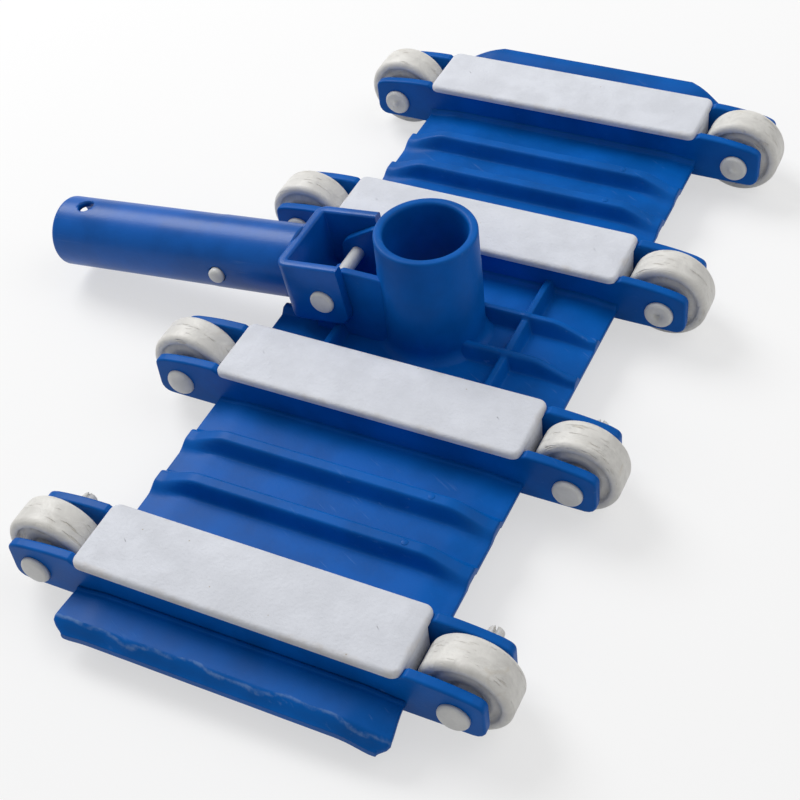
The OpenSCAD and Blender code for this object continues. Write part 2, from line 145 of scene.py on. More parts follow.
class Finishes(bpy.types.PropertyGroup):
    """Colours of the moulded plastics and metals"""
    body_blue: colour("Body blue", "Flexible body", 0, 92, 178)
    handle_blue: colour("Handle blue", "Handle and yoke", 0, 90, 178)
    cover_white: colour("Cover white", "Weight covers", 226, 229, 237)
    wheel_cream: colour("Wheel cream", "Wheels", 233, 231, 226)
    pin_white: colour("Pin white", "Axle pins, pivot pin and buttons", 226, 226, 224)
    stain: colour("Stain", "Dirt in corners and grooves", 176, 152, 104)
    steel: colour("Steel", "Screws and spring clip", 178, 180, 184)
    iron: colour("Iron", "Ballast", 92, 91, 92)
    floor_white: colour("Floor", "Floor and backdrop", 252, 252, 252)


# ---------------------------------------------------------------- shader arithmetic


class Signal:
    """One number that varies over a surface. Each arithmetic operator adds a Math node."""

    def __init__(self, paint, socket):
        self.paint = paint
        self.socket = socket

    def math(self, operation, *values):
        node = self.paint.node("ShaderNodeMath", {"operation": operation}, dict(enumerate(values)))
        return Signal(self.paint, node.outputs[0])

    def __add__(self, other):
        return self.math("ADD", self, other)

    def __sub__(self, other):
        return self.math("SUBTRACT", self, other)

    def __rsub__(self, other):
        return self.math("SUBTRACT", other, self)

    def __mul__(self, other):
        return self.math("MULTIPLY", self, other)

    __radd__ = __add__
    __rmul__ = __mul__

    def most(self, other):
        return self.math("MAXIMUM", self, other)

    def rise(self, low, high):
        """0 below low, 1 above high, and a smooth step between."""
        node = self.paint.node(
            "ShaderNodeMapRange", {"interpolation_type": "SMOOTHSTEP", "clamp": True},
            {0: self, 1: low, 2: high, 3: 0.0, 4: 1.0})
        return Signal(self.paint, node.outputs[0])


class Paint:
    """The node tree of one material or world."""

    def __init__(self, owner):
        self.material = owner
        owner.use_nodes = True
        self.tree = owner.node_tree
        self.tree.nodes.clear()
        self.place = self.node("ShaderNodeTexCoord").outputs["Object"]

    def node(self, kind, settings=None, sockets=None):
        """Adds a node of that kind, sets its settings first, and then its sockets' values or links."""
        made = self.tree.nodes.new(kind)
        for key, value in (settings or {}).items():
            setattr(made, key, value)
        for key, value in (sockets or {}).items():
            if isinstance(value, Signal):
                value = value.socket
            if isinstance(value, bpy.types.NodeSocket):
                self.tree.links.new(value, made.inputs[key])
            else:
                made.inputs[key].default_value = value
        return made

    def seen(self, *kinds):
        """1 for rays of the camera and of the kinds named, 0 for all others."""
        path = self.node("ShaderNodeLightPath")
        share = Signal(self, path.outputs["Is Camera Ray"])
        for kind in kinds:
            share = share.most(Signal(self, path.outputs[f"Is {kind} Ray"]))
        return share

    def stretched(self, scale, turn=(0, 0, 0)):
        """The object's own space, turned and then stretched along each axis."""
        turned = self.node("ShaderNodeMapping", None, {"Vector": self.place, "Rotation": turn})
        return self.node("ShaderNodeMapping", None, {"Vector": turned.outputs[0], "Scale": scale}).outputs[0]

    def noise(self, size, detail=3.0, rough=0.55, bend=0.0, place=None):
        """Cloudy noise whose blobs are about size metres across."""
        node = self.node("ShaderNodeTexNoise", None, {
            "Vector": place or self.place, "Scale": 1 / size, "Detail": detail,
            "Roughness": rough, "Distortion": bend})
        return Signal(self, node.outputs["Fac"])

    def cells(self, size):
        """Distance to the nearest of points scattered about size metres apart."""
        node = self.node("ShaderNodeTexVoronoi", None, {"Vector": self.place, "Scale": 1 / size})
        return Signal(self, node.outputs["Distance"])

    def mark(self, name):
        """A number kept on the mesh's points."""
        node = self.node("ShaderNodeAttribute", {"attribute_name": name})
        return Signal(self, node.outputs["Fac"])

    def mix(self, factor, first, second):
        """First colour where the factor is 0, second where it is 1."""
        node = self.node("ShaderNodeMix", {"data_type": "RGBA", "clamp_factor": True}, {
            0: factor, 6: self.opaque(first), 7: self.opaque(second)})
        return node.outputs[2]

    def opaque(self, value):
        return value if isinstance(value, bpy.types.NodeSocket) else (*value[:3], 1.0)

    def bump(self, height, distance, strength=1.0):
        """Normal of a surface raised by height times distance metres."""
        node = self.node(
            "ShaderNodeBump", None, {"Height": height, "Distance": distance, "Strength": strength})
        return node.outputs[0]

    def finish(self, base, roughness, normal, fixed=None):
        """Closes the tree with one Principled shader."""
        sockets = {"Base Color": self.opaque(base), "Roughness": roughness, "Normal": normal, **(fixed or {})}
        shader = self.node("ShaderNodeBsdfPrincipled", None, sockets)
        self.node("ShaderNodeOutputMaterial", None, {"Surface": shader.outputs[0]})
        return self.material


def tone(value, share):
    """A colour made darker or lighter by a share of itself."""
    return tuple(min(1.0, c * share) for c in value[:3])


def toward(value, other, share):
    """A colour part of the way to another one."""
    return tuple(a + (b - a) * share for a, b in zip(value[:3], other[:3]))


def blue_plastic(name, blue, scratch_turn, scratch_stretch, gloss):
    """Soft moulded plastic: slight mottling, long scuffs and a whitened crease where the mesh marks wear."""
    paint = Paint(bpy.data.materials.new(name))
    cloud = paint.noise(0.022, 4.0)
    grain = paint.noise(0.0009, 2.0)
    lengthwise = paint.stretched(scratch_stretch, scratch_turn)
    scuffs = paint.noise(0.0016, 3.0, 0.6, 0.0, lengthwise).rise(0.62, 0.76)
    patch = paint.noise(0.03, 2.0).rise(0.45, 0.7)
    wear = paint.mark("wear")
    fray = paint.noise(0.0035, 4.0, 0.7)
    worn = (wear * (fray * 1.6 + 0.1)).rise(0.42, 1.05)
    base = paint.mix(cloud.rise(0.3, 0.7), tone(blue, 0.86), tone(blue, 1.12))
    base = paint.mix(scuffs * patch * 0.35, base, toward(blue, (0.35, 0.55, 0.85), 0.35))
    base = paint.mix(worn * 0.4, base, toward(blue, (0.5, 0.68, 0.8), 0.5))
    rough = 0.42 + (cloud - 0.5) * 0.2 + scuffs * patch * 0.18 + worn * 0.2 - gloss
    normal = paint.bump(grain * 0.5 + cloud * 1.2 + scuffs * patch * -0.5, 0.00012, 0.7)
    return paint.finish(base, rough, normal, {"Specular IOR Level": 0.12 + 2 * gloss})


def white_cover_plastic(name, white, stain):
    """Matt white plastic with a mottled surface, faint specks and a yellowed edge."""
    paint = Paint(bpy.data.materials.new(name))
    cloud = paint.noise(0.012, 5.0, 0.6)
    wide = paint.noise(0.045, 2.0)
    specks = paint.cells(0.006).rise(0.06, 0.02) * paint.noise(0.01, 1.0).rise(0.5, 0.62)
    edge = paint.mark("wear")
    dirt = (edge * paint.noise(0.008, 4.0, 0.65)).rise(0.34, 0.72)
    base = paint.mix(cloud.rise(0.3, 0.72), tone(white, 0.92), tone(white, 1.04))
    base = paint.mix(wide.rise(0.45, 0.75) * 0.4, base, tone(white, 0.93))
    base = paint.mix(dirt * 0.6, base, toward(white, stain, 0.5))
    base = paint.mix(specks * 0.6, base, toward(stain, (0.2, 0.17, 0.12), 0.3))
    grain = paint.noise(0.0013, 3.0)
    normal = paint.bump(grain * 0.7 + cloud * 2.0, 0.0003, 0.9)
    return paint.finish(base, 0.62 + cloud * 0.12, normal, {"Specular IOR Level": 0.25})


def cream_wheel_plastic(name, cream, stain):
    """Hard cream plastic with brown stains in its grooves, scratches round the tread and a dull bloom."""
    paint = Paint(bpy.data.materials.new(name))
    cloud = paint.noise(0.007, 5.0, 0.65, 0.6)
    groove = paint.mark("wear")
    stains = (groove * 0.4 + paint.noise(0.009, 5.0, 0.7, 0.8)).rise(0.68, 1.0)
    blots = paint.noise(0.015, 3.0, 0.6, 1.2).rise(0.6, 0.78)
    lines = paint.noise(0.0012, 3.0, 0.6, 0.0, paint.stretched((0.12, 1.0, 0.12))).rise(0.6, 0.72)
    base = paint.mix(cloud.rise(0.32, 0.7), tone(cream, 0.9), tone(cream, 1.05))
    base = paint.mix(blots * 0.5, base, toward(cream, stain, 0.5))
    base = paint.mix(stains * 0.6, base, toward(cream, stain, 0.7))
    base = paint.mix(lines * 0.36, base, toward(cream, stain, 0.6))
    normal = paint.bump(cloud * 1.4 - lines * 0.8, 0.0004, 0.9)
    return paint.finish(base, 0.34 + cloud * 0.16 + stains * 0.2, normal, {"Specular IOR Level": 0.45})


def white_pin_plastic(name, white, stain):
    """Smooth white nylon with small stains and faint tool marks."""
    paint = Paint(bpy.data.materials.new(name))
    cloud = paint.noise(0.004, 4.0, 0.6)
    dirt = (paint.mark("wear") * 0.5 + paint.noise(0.0035, 4.0, 0.7)).rise(0.62, 0.95)
    base = paint.mix(cloud.rise(0.3, 0.7), tone(white, 0.94), tone(white, 1.03))
    base = paint.mix(dirt * 0.55, base, toward(white, stain, 0.8))
    normal = paint.bump(paint.noise(0.0012, 2.0), 0.00008, 0.6)
    return paint.finish(base, 0.36 + cloud * 0.12, normal, {"Specular IOR Level": 0.5})


def bare_metal(name, tint, rough, grain_size):
    """Metal with a rolled grain and darker patches."""
    paint = Paint(bpy.data.materials.new(name))
    cloud = paint.noise(0.005, 4.0, 0.6)
    grain = paint.noise(grain_size, 3.0, 0.6, 0.0, paint.stretched((0.2, 1.0, 1.0)))
    base = paint.mix(cloud.rise(0.3, 0.75), tone(tint, 0.8), tone(tint, 1.05))
    return paint.finish(
        base, rough + grain * 0.15, paint.bump(grain, 0.00006, 0.6), {"Metallic": 1.0})


def cast_metal(name, tint):
    """Rough cast iron: pitted, dull and slightly rusty."""
    paint = Paint(bpy.data.materials.new(name))
    pits = paint.noise(0.0012, 4.0, 0.7)
    rust = paint.noise(0.012, 4.0, 0.6).rise(0.55, 0.75)
    base = paint.mix(pits.rise(0.3, 0.7), tone(tint, 0.75), tone(tint, 1.1))
    base = paint.mix(rust * 0.5, base, (0.13, 0.055, 0.022))
    return paint.finish(base, 0.62 + pits * 0.2, paint.bump(pits, 0.0003, 0.8), {"Metallic": 0.5})


# ---------------------------------------------------------------- surfaces


class Shell:
    """A closed surface: points in millimetres, four-cornered faces, flat caps and a wear mark per point."""

    def __init__(self, points, quads, caps=(), wear=0.0):
        self.points = np.asarray(points, float).reshape(-1, 3)
        self.quads = np.asarray(quads, int).reshape(-1, 4)
        self.caps = [np.asarray(c, int) for c in caps]
        self.wear = np.broadcast_to(np.asarray(wear, float).reshape(-1), (len(self.points),)).copy()
        if self.volume() < 0:
            self.quads = self.quads[:, ::-1]
            self.caps = [c[::-1] for c in self.caps]

    def volume(self):
        """Signed volume: a sixth of the triple product of each fan triangle's corners, added up."""
        p = self.points - self.points.mean(axis=0)
        fans = [self.quads[:, [0, 1, 2]], self.quads[:, [0, 2, 3]]]
        fans += [np.stack([np.full(len(c) - 2, c[0]), c[1:-1], c[2:]], axis=1) for c in self.caps]
        t = np.concatenate(fans)
        return float(np.einsum("ij,ij->i", p[t[:, 0]], np.cross(p[t[:, 1]], p[t[:, 2]])).sum()) / 6

    def moved(self, matrix):
        """The same shell after a 4 by 4 matrix in millimetres."""
        self.points = self.points @ matrix[:3, :3].T + matrix[:3, 3]
        return self


def lofted(loops, wear=0.0, ring=False):
    """Closed loops of equal length, one behind the other: point (u, v) is place v of loop u.
    The first and last loop are capped, or joined to each other where the loops form a ring."""
    m, n = loops.shape[:2]
    here = np.arange(m * n).reshape(m, n)
    ahead = np.roll(here, -1, axis=0) if ring else here[1:]
    back = here if ring else here[:-1]
    quads = np.stack([back, ahead, np.roll(ahead, -1, 1), np.roll(back, -1, 1)], axis=-1)
    caps = () if ring else (here[0], here[-1][::-1])
    return Shell(loops, quads, caps, wear)


def turned(profile, origin=(0, 0, 0), axis="Y", count=72, ring=False, wear=0.0):
    """A profile of (radius, place along the axis) turned round that axis.
    Point (u, v) is profile point u at the angle 2 pi v / count."""
    profile = np.asarray(profile, float)
    angle = np.linspace(0, 2 * np.pi, count, endpoint=False)
    across = profile[:, :1] * np.cos(angle)
    up = profile[:, :1] * np.sin(angle)
    along = np.broadcast_to(profile[:, 1:2], across.shape)
    order = {"X": (along, across, up), "Y": (across, along, up), "Z": (across, up, along)}[axis]
    marks = np.broadcast_to(np.asarray(wear, float).reshape(-1, 1), across.shape) if np.ndim(wear) else wear
    return lofted(np.stack(order, axis=-1) + np.asarray(origin, float), marks, ring)


def fillet(centre, radius, start, stop, steps=6):
    """Points of an arc round a centre, from one angle in degrees to another."""
    angle = np.radians(np.linspace(start, stop, steps + 1))
    return np.stack([centre[0] + radius * np.cos(angle), centre[1] + radius * np.sin(angle)], axis=1)


def rounded(corners, steps=5, guard=0.35):
    """A closed outline of corners (x, y, radius): each corner becomes an arc that touches both its sides,
    with a guard point on either side so that flat stretches shade flat."""
    corners = np.asarray(corners, float)
    p, r = corners[:, :2], np.maximum(corners[:, 2:], 0.02)
    before, after = np.roll(p, 1, 0) - p, np.roll(p, -1, 0) - p
    before /= np.linalg.norm(before, axis=1, keepdims=True)
    after /= np.linalg.norm(after, axis=1, keepdims=True)
    half = np.arccos(np.clip((before * after).sum(1, keepdims=True), -1, 1)) / 2
    reach = r / np.tan(half)
    middle = before + after
    middle /= np.linalg.norm(middle, axis=1, keepdims=True)
    centre = p + middle * (r / np.sin(half))
    t = np.linspace(0, 1, steps + 1).reshape(-1, 1, 1)
    first, last = p + before * reach - centre, p + after * reach - centre
    sweep = (np.pi - 2 * half)[None]
    arc = (np.sin((1 - t) * sweep) * first[None] + np.sin(t * sweep) * last[None]) / np.sin(sweep)
    arc = arc + centre[None]
    lead = (p + before * (reach + guard))[None]
    tail = (p + after * (reach + guard))[None]
    return np.concatenate([lead, arc, tail], axis=0).transpose(1, 0, 2).reshape(-1, 2)


def inset(outline, depth):
    """An outline moved inwards by depth along the mean normal of each point's two sides."""
    side = np.roll(outline, -1, 0) - outline
    normal = np.stack([-side[:, 1], side[:, 0]], axis=1)
    normal /= np.maximum(np.linalg.norm(normal, axis=1, keepdims=True), 1e-9)
    both = normal + np.roll(normal, 1, 0)
    both /= np.maximum((both * both).sum(1, keepdims=True) / 2, 0.4)
    x, y = outline.T
    turn = np.sign((x * np.roll(y, -1) - np.roll(x, -1) * y).sum())
    return outline + both * depth * turn


def plate(outline, low, high, edge, plane="XZ", steps=4, wear=0.0):
    """An outline thickened between two planes, with both rims rounded by edge.
    Loop u lies at depth edge (1 - cos a) and is inset by edge (1 - sin a)."""
    angle = np.radians(np.linspace(0, 90, steps + 1))
    depth = edge * (1 - np.cos(angle))
    shrink = edge * (1 - np.sin(angle))
    depth = np.append(depth, edge + 0.25)
    shrink = np.append(shrink, 0.0)
    places = np.concatenate([low + depth, high - depth[::-1]])
    shrinks = np.concatenate([shrink, shrink[::-1]])
    flat = np.stack([inset(outline, s) for s in shrinks])
    third = np.broadcast_to(places[:, None], flat.shape[:2])
    order = {"XZ": (flat[..., 0], third, flat[..., 1]), "XY": (flat[..., 0], flat[..., 1], third),
             "YZ": (third, flat[..., 0], flat[..., 1])}[plane]
    return lofted(np.stack(order, axis=-1), wear)


def box_outline(half_x, half_y, radius, steps=6):
    """A rounded rectangle centred on 0."""
    return rounded([(-half_x, -half_y, radius), (half_x, -half_y, radius),
                    (half_x, half_y, radius), (-half_x, half_y, radius)], steps)


def smooth(value, low, high):
    """0 below low, 1 above high, 3 t squared minus 2 t cubed between."""
    t = np.clip((value - low) / (high - low), 0, 1)
    return t * t * (3 - 2 * t)


def softest(first, second, power=7):
    """Soft maximum of two heights that are not negative: the power-mean of both."""
    return (np.maximum(first, 0) ** power + np.maximum(second, 0) ** power) ** (1 / power)


def piece(name, shells, material):
    """One object from several closed shells, in metres, with its wear marks and material."""
    starts = np.cumsum([0] + [len(s.points) for s in shells])
    points = np.concatenate([s.points for s in shells]) * MM
    faces, even = [], []
    for shell, start in zip(shells, starts):
        faces += (shell.quads + start).tolist() + [(c + start).tolist() for c in shell.caps]
        even += [True] * len(shell.quads) + [False] * len(shell.caps)
    mesh = bpy.data.meshes.new(name)
    mesh.from_pydata(points.tolist(), [], faces)
    mesh.polygons.foreach_set("use_smooth", even)
    marks = mesh.attributes.new("wear", "FLOAT", "POINT")
    marks.data.foreach_set("value", np.concatenate([s.wear for s in shells]).astype(np.float32))
    mesh.materials.append(material)
    mesh.validate()
    mesh.update()
    made = bpy.data.objects.new(name, mesh)
    bpy.context.scene.collection.objects.link(made)
    return made


def cut(target, shells):
    """Takes closed shells away from a piece and keeps the result as the piece's own mesh."""
    knife = piece("knife", shells, target.data.materials[0])
    modifier = target.modifiers.new("Cut", "BOOLEAN")
    modifier.operation = "DIFFERENCE"
    modifier.solver = "EXACT"
    modifier.object = knife
    depsgraph = bpy.context.evaluated_depsgraph_get()
    depsgraph.update()
    fresh = bpy.data.meshes.new_from_object(target.evaluated_get(depsgraph))
    if len(fresh.polygons) < 8:
        raise RuntimeError(f"{target.name} came out empty")
    target.modifiers.clear()
    target.data = fresh
    bpy.data.objects.remove(knife)
    return target


FINISHES = {}


def finishes():
    """Materials by the record's slot name, made once."""
    if FINISHES:
        return FINISHES
    paints = bpy.context.scene.head_finishes
    FINISHES.update({
        "body_blue": blue_plastic("body_finish", paints.body_blue, (0, 0, 0.5), (0.1, 1.0, 1.0), 0.0),
        "handle_blue": blue_plastic(
            "handle_finish", paints.handle_blue, (0, 0.126, 0), (0.06, 1.0, 1.0), 0.08),
        "cover_white": white_cover_plastic("cover_finish", paints.cover_white, paints.stain),
        "wheel_cream": cream_wheel_plastic("wheel_finish", paints.wheel_cream, paints.stain),
        "pin_white": white_pin_plastic("pin_finish", paints.pin_white, paints.stain),
        "button_white": white_pin_plastic("button_finish", paints.pin_white, paints.stain),
        "screw_steel": bare_metal("screw_finish", paints.steel, 0.3, 0.0008),
        "clip_steel": bare_metal("clip_finish", paints.steel, 0.22, 0.0015),
        "ballast_iron": cast_metal("ballast_finish", paints.iron),
    })
    return FINISHES


def sizes():
    """Both groups of sizes in millimetres, under their own names."""
    scene = bpy.context.scene
    found = {}
    for name in ("head_body", "head_parts"):
        group = getattr(scene, name)
        found.update({key: getattr(group, key) / MM for key in group.__annotations__})
    return type("Sizes", (), found)


# ---------------------------------------------------------------- flexible body


def rib_bump(offset, crest, foot, widen=0.0):
    """Share of a rib's height at a distance across it: 1 on the crest, 0 past the foot and a smooth step
    between. The side towards -Y may be made softer by widening its foot."""
    reach = foot / 2 + np.where(offset < 0, widen, 0.0)
    return 1 - smooth(np.abs(offset), crest / 2 - 0.35, reach + 0.35)


def rib_profile(s, x):
    """Height of a cross rib's crest: level in the middle, then a straight slope to both edges."""
    run = np.clip((np.abs(x) - (s.half_width - s.rib_slope)) / s.rib_slope, 0, 1)
    ease = run + 0.03 * np.sin(np.pi * run)
    return s.rib_height + (s.rib_end - s.rib_height) * ease


def sheet_rise(s, x, y):
    """Height of what is moulded on the sheet: outer ribs, ribs round the connector, hollows at the walls."""
    height = np.zeros(np.broadcast(x, y).shape)
    tip = smooth(np.abs(x), s.half_width - s.rib_slope, s.half_width)
    for middle in (-1, 1):
        for side in (-1, 1):
            place = middle * (BARS[2] - BARS[1]) + side * s.rib_spacing / 2 + s.rib_shift
            share = rib_bump(y - place, s.rib_crest, s.rib_foot, 3.2 * tip)
            height = softest(height, rib_profile(s, x) * share)
    for side in (-1, 1):
        share = rib_bump(y - side * s.rib_spacing / 2 - s.rib_shift, s.web_crest, s.web_foot)
        height = softest(height, rib_profile(s, x) * share)
        along = rib_bump(x - side * s.web_place, s.web_crest, s.web_foot)
        height = softest(height, s.web_height * along * (np.abs(y) < BARS[2]))
    for bar in BARS:
        gap = np.abs(y - bar) - BAR_HALF_WIDTH
        reach = 2.2
        hollow = reach - np.sqrt(np.clip(reach ** 2 - (reach - np.clip(gap, 0, reach)) ** 2, 0, None))
        height = softest(height, np.where(gap > 0, hollow, 0.0))
    return height


def stations(low, high, places, reach, step=2.0):
    """Places along a line: even steps, with finer ones near each rib or edge."""
    fine = np.concatenate([[0], np.linspace(0.25, 1, 9)])
    near = [p + side * reach * f for p in places for side in (-1, 1) for f in fine]
    both = np.concatenate([np.linspace(low, high, int((high - low) / step) + 1), near])
    both = np.unique(np.round(both[(both >= low) & (both <= high)], 4))
    return both[np.concatenate([[True], np.diff(both) > 0.06 * step])]


def sheet_shell(s, y, shape):
    """The flexible sheet lofted along Y. Loop u is the section at y[u]: its upper face, a rounded edge,
    its lower face with the ribs hollowed out, and the other edge. shape gives each place's half width,
    lift and wear from x and y."""
    ribs = [side * s.web_place for side in (-1, 1)]
    across = stations(-1, 1, [r / s.half_width for r in ribs], 4.0 / s.half_width, 0.033)
    across = across[np.abs(across) < 0.985]
    edge = 0.8
    turn = np.radians(np.linspace(90, -90, 7))
    grid_y = y[:, None]
    half, lift, wear = shape(np.broadcast_to(across[None], (len(y), len(across))), grid_y)
    x = across[None] * (half - edge)
    droop = s.edge_droop * smooth(np.abs(x), s.half_width - 14, s.half_width)
    top = s.sheet_top + sheet_rise(s, x, grid_y) - droop + lift
    hollow = np.clip(sheet_rise(s, x, grid_y + 0.0) - 1.7, 0, None)
    outside = np.abs(grid_y) > BARS[2] + BAR_HALF_WIDTH
    low = s.sheet_top - s.sheet_thickness - droop + lift + hollow * outside

    def side(column, sign):
        upper, lower = top[:, column], low[:, column]
        out = sign * (np.broadcast_to(half, x.shape)[:, column] - edge)[:, None]
        middle = np.where(turn >= 0, (upper - edge)[:, None], (lower + edge)[:, None])
        return np.stack([out + sign * edge * np.cos(turn), np.broadcast_to(grid_y, (len(y), 7)),
                         middle + edge * np.sin(turn)], axis=-1)

    def face(height):
        return np.stack([x, np.broadcast_to(grid_y, x.shape), height], axis=-1)

    right, left = side(-1, 1), side(0, -1)[:, ::-1]
    loops = np.concatenate([face(top), right, face(low)[:, ::-1], left], axis=1)
    ends = [wear[:, -1:].repeat(7, 1), wear[:, ::-1] * 0, wear[:, :1].repeat(7, 1)]
    return lofted(loops, np.concatenate([wear, *ends], axis=1))


def ear_outline(s):
    """Side of a bar wall with its two fork ears: a level top between, and an arched top over each ear."""
    end = BAR_HALF_LENGTH + s.ear_reach
    run = np.linspace(0, 0.84, 8)[1:]
    arch_x = BAR_HALF_LENGTH + 1 + (s.ear_reach - 1) * run
    arch_z = s.ear_inner - (s.ear_inner - s.ear_outer) * run ** 2
    right = [(end, s.bar_low, 4.2), (end, s.ear_outer - 0.6, 3.0)]
    right += [(x, z, 3.0) for x, z in zip(arch_x[::-1], arch_z[::-1])]
    right += [(BAR_HALF_LENGTH + 1, s.ear_inner, 1.0), (BAR_HALF_LENGTH - 1.2, s.bar_top, 1.2)]
    left = [(-x, z, r) for x, z, r in right[::-1]]
    return rounded(right + left, 4, 0.2)


def bar_shells(s, bar):
    """The two walls of a cross bar, each with a fork ear at both ends."""
    outline = ear_outline(s)
    shells = []
    for side in (-1, 1):
        low, high = sorted(bar + side * reach for reach in (BAR_HALF_WIDTH - s.bar_wall, BAR_HALF_WIDTH))
        shells.append(plate(outline, low, high, 0.9))
    return shells


def ejector_discs(s, ribs):
    """A faint round mark on the crest of each rib, near its right end."""
    top = s.sheet_top + s.rib_height
    profile = [(AXIS, -0.5), (1.25, -0.5), (1.25, 0.06), (1.05, 0.14), (AXIS, 0.14)]
    return [turned(profile, (36.5, rib, top), "Z", 20) for rib in ribs]


def connector_shell(s):
    """The hose connector: a ring profile turned round Z, flared at its foot and rounded at its rim."""
    top = CONNECTOR_TOP
    r, bore, flare = s.connector_radius, s.connector_bore, s.connector_flare
    foot = s.sheet_top
    inner = [(bore, s.sheet_top - s.sheet_thickness), (bore, foot), (bore, top - 2.4)]
    rim = fillet((bore + 1.3, top - 1.3), 1.3, 180, 90, 5)
    lip = fillet((r - 0.9, top - 0.9), 0.9, 90, 0, 5)
    wall = [(r, top - 2.5), (r, 46.4), (r + 0.2, 46.0), (r + 0.2, foot + flare + 1)]
    hollow = fillet((r + 0.2 + flare, foot + flare - 0.2), flare, 180, 268, 9)
    under = [(r + flare, foot - 1.2), (r + flare, s.sheet_top - s.sheet_thickness + 0.1)]
    profile = np.concatenate([inner, rim, lip, wall, hollow, under])
    return turned(profile, (0, 0, 0), "Z", 112, True)


def lug_shells(s):
    """The two lugs that carry the pivot pin, each with a rounded end about the pivot."""
    px, pz = np.array(PIVOT["pos_m"])[[0, 2]] / MM
    radius, top = 7.0, 45.8
    eye = fillet((px, pz), radius, 180, 120, 5)
    outline = [(-11.7, s.sheet_top - 1, 0.8), (-11.7, top, 0.8), (px + 7, top, 2.0)]
    outline += [(x, z, 2.0) for x, z in eye[::-1]] + [(px - radius, s.sheet_top - 1, 0.8)]
    outline = rounded(outline, 4, 0.2)
    inner, outer = 11.1, 14.3
    shells = [plate(outline, inner, outer, 0.7), plate(outline, -outer, -inner, 0.7)]
    return shells


class VACUUM_OT_centre_section(bpy.types.Operator):
    """Makes the middle of the body: sheet, ribs, two bars, hose connector and pivot lugs"""
    bl_idname = "vacuum.centre_section"
    bl_label = "Centre Section"

    def execute(self, context):
        s = sizes()
        ribs = [side * s.rib_spacing / 2 + s.rib_shift for side in (-1, 1)]
        edges = [BARS[1] + BAR_HALF_WIDTH, BARS[2] - BAR_HALF_WIDTH]
        y = stations(BARS[1] - 12, BARS[2] + 12, ribs + edges, 4.6)

        def shape(across, y):
            flat = np.zeros(np.broadcast(across, y).shape)
            return np.full_like(flat, s.half_width)[:, :1], flat, flat

        made = finishes()
        sheet = piece("sheet_cut", [sheet_shell(s, y, shape)], made["body_blue"])
        bore = turned([(AXIS, -1), (s.connector_bore + 0.8, -1), (s.connector_bore + 0.8, 40), (AXIS, 40)],
                      (0, 0, 0), "Z", 64)
        cut(sheet, [bore])
        shells = [connector_shell(s), *lug_shells(s), *bar_shells(s, BARS[1]), *bar_shells(s, BARS[2])]
        body = piece("centre_body", shells, made["body_blue"])
        for part in (body, sheet):
            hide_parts("body_center")
            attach(part, "center_section")
        sheet.name = "centre_sheet"
        return {"FINISHED"}


class VACUUM_OT_end_sections(bpy.types.Operator):
    """Makes the two outer panels with their bars and lips"""
    bl_idname = "vacuum.end_sections"
    bl_label = "End Sections"

    def execute(self, context):
        s = sizes()
        self.panel(s, -1, "near", BARS[0], self.near_shape)
        self.panel(s, 1, "far", BARS[3], self.far_shape)
        return {"FINISHED"}

    def panel(self, s, sign, name, bar, shape):
        lip = 16.6 if sign < 0 else 20.2
        flex = sign * (BARS[2] - BARS[1])
        start, end = sign * (BARS[2] + 10), bar + sign * (BAR_HALF_WIDTH + lip)
        ribs = [flex + side * s.rib_spacing / 2 + s.rib_shift for side in (-1, 1)]
        low, high = sorted((start, end))
        extra = [bar - BAR_HALF_WIDTH, bar + BAR_HALF_WIDTH]
        extra += [flex - sign * (BARS[2] - BAR_HALF_WIDTH), end - sign * 3]
        y = stations(low, high, ribs + extra, 5.2)
        shells = [sheet_shell(s, y, lambda across, y: shape(s, bar, across, y))]
        shells += bar_shells(s, bar) + ejector_discs(s, ribs)
        skin = piece(f"{name}_panel", shells, finishes()["body_blue"])
        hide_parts(f"body_{name}")
        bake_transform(skin)

    def near_shape(self, s, bar, across, y):
        """The near lip widens a little, then turns down; its fold is worn in a wavy line."""
        out = bar - BAR_HALF_WIDTH - y
        half = s.half_width + 1.2 * smooth(out, 0, 13) - 4.0 * smooth(out, 13.6, 16.6)
        flat = np.zeros(np.broadcast(across, y).shape)
        wave = 0.9 * np.sin(across * 9.0) + 0.6 * np.sin(across * 23.0 + 1.3)
        fold = 12.4 + 0.35 * wave
        curl = 1.8 * smooth(across, 0.75, 1.0) * smooth(out, 7, 15)
        drop = 0.7 * smooth(out, -1, 3) - 0.6 * smooth(out, 2, 12) - 4.2 * smooth(out, fold, 17.2) - curl
        wear = np.exp(-((out - fold - 0.8 - 0.5 * wave) / 0.85) ** 2)
        wear = np.maximum(wear, 0.5 * np.exp(-((out - 9.5 - 0.8 * wave) / 0.5) ** 2))
        return half, flat + drop, flat + wear

    def far_shape(self, s, bar, across, y):
        """The far lip rises towards its edge and its corners are cut back."""
        out = y - bar - BAR_HALF_WIDTH
        half = s.half_width - 1.2 * smooth(out, 4, 12) - 14.3 * np.clip((out - 12.3) / 7.9, 0, 1)
        flat = np.zeros(np.broadcast(across, y).shape)
        return half, flat + 5.9 * smooth(out, 1.5, 19.0) * (out > 0), flat + 0.35 * smooth(out, 18.5, 20.0)


# ---------------------------------------------------------------- weights, wheels and pins


